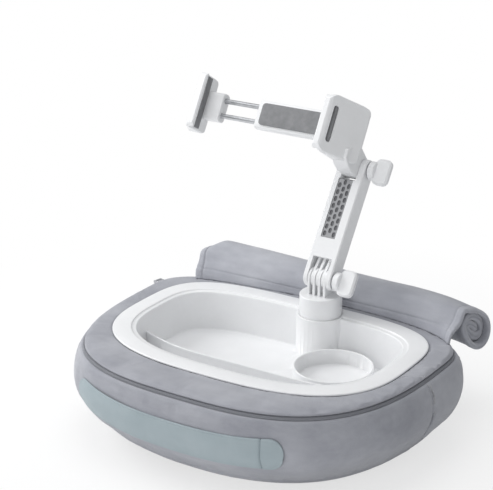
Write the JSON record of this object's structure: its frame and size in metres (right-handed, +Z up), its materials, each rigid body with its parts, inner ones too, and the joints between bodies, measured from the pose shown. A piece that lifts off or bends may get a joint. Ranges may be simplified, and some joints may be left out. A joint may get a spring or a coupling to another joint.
{
  "type": "tablet cushion stand",
  "caption": "Lap cushion with a lift-out moulded tray and a folding, swivelling arm whose sprung clamp holds a tablet.",
  "frame": {"origin": "on the floor under the tray's widest line, on the cushion's middle plane", "axes": "+X to the right along the rolled cover, -Y towards the user, +Z up"},
  "size_m": [0.4117, 0.3702, 0.3512],
  "materials": {
    "cushion_fabric": "matte",
    "base_fabric": "matte",
    "strap_webbing": "matte",
    "zip_teeth": "matte",
    "zip_metal": "satin",
    "white_plastic": "satin",
    "insert_plastic": "matte",
    "grip_rubber": "matte",
    "steel": "satin",
    "brass": "satin"
  },
  "bodies": {
    "cushion": {"cushion_body": "cushion_fabric", "base_panel": "base_fabric", "zip_track": "zip_teeth", "zip_slider": "zip_metal", "carry_strap": "strap_webbing", "strap_end_tab": "strap_webbing", "cover_roll": "cushion_fabric"},
    "zip_pull": {"zip_pull": "zip_metal"},
    "tray": {"tray": "white_plastic", "post_socket": "white_plastic"},
    "post": {"post": "white_plastic", "post_screw": "steel", "post_washer": "steel"},
    "arm": {"arm_frame": "white_plastic", "arm_insert": "insert_plastic", "lower_bolt": "steel", "lower_washer": "steel", "upper_bolt": "steel", "upper_washer": "steel"},
    "lower_knob": {"lower_wing_knob": "white_plastic", "lower_knob_nut": "brass"},
    "upper_knob": {"upper_wing_knob": "white_plastic", "upper_knob_nut": "brass"},
    "clamp_head": {"fixed_jaw_shell": "white_plastic", "fixed_jaw_cover": "insert_plastic", "fixed_jaw_lining": "grip_rubber", "rail_housing": "white_plastic", "back_pad": "grip_rubber", "rail_screw_front": "steel", "rail_screw_back": "steel", "clamp_spring_lower": "steel", "clamp_spring_upper": "steel"},
    "sliding_jaw": {"sliding_jaw_shell": "white_plastic", "sliding_jaw_lining": "grip_rubber", "guide_rod_lower": "steel", "guide_rod_upper": "steel", "rod_stop_lower": "steel", "rod_stop_upper": "steel"}
  },
  "joints": [
    {"name": "tray_lift", "type": "slide", "parent": "cushion", "child": "tray", "axis": [0, 0, 1], "range_m": [0, 0.06]},
    {"name": "post_swivel", "type": "hinge", "parent": "tray", "child": "post", "pos_m": [0.0194, 0.083, 0.1], "axis": [0, 0, 1], "continuous": true},
    {"name": "lower_hinge", "type": "hinge", "parent": "post", "child": "arm", "pos_m": [0.0194, 0.083, 0.148], "axis": [1, 0, 0], "range_deg": [-45, 100]},
    {"name": "upper_hinge", "type": "hinge", "parent": "arm", "child": "clamp_head", "pos_m": [0.0194, 0.1582, 0.25782], "axis": [1, 0, 0], "range_deg": [-90, 18]},
    {"name": "jaw_slide", "type": "slide", "parent": "clamp_head", "child": "sliding_jaw", "axis": [1, 0, 0], "range_m": [-0.022, 0.049], "deforming": ["clamp_spring_lower", "clamp_spring_upper"]},
    {"name": "lower_knob_turn", "type": "hinge", "parent": "arm", "child": "lower_knob", "pos_m": [0.0194, 0.083, 0.148], "axis": [1, 0, 0], "range_deg": [-180, 180]},
    {"name": "upper_knob_turn", "type": "hinge", "parent": "arm", "child": "upper_knob", "pos_m": [0.0194, 0.1582, 0.25782], "axis": [1, 0, 0], "range_deg": [-180, 180]},
    {"name": "zip_pull_swing", "type": "hinge", "parent": "cushion", "child": "zip_pull", "pos_m": [-0.20376, 0.07667, 0.0985], "axis": [0.2323, 0.9727, 0], "range_deg": [0, 150]}
  ]
}
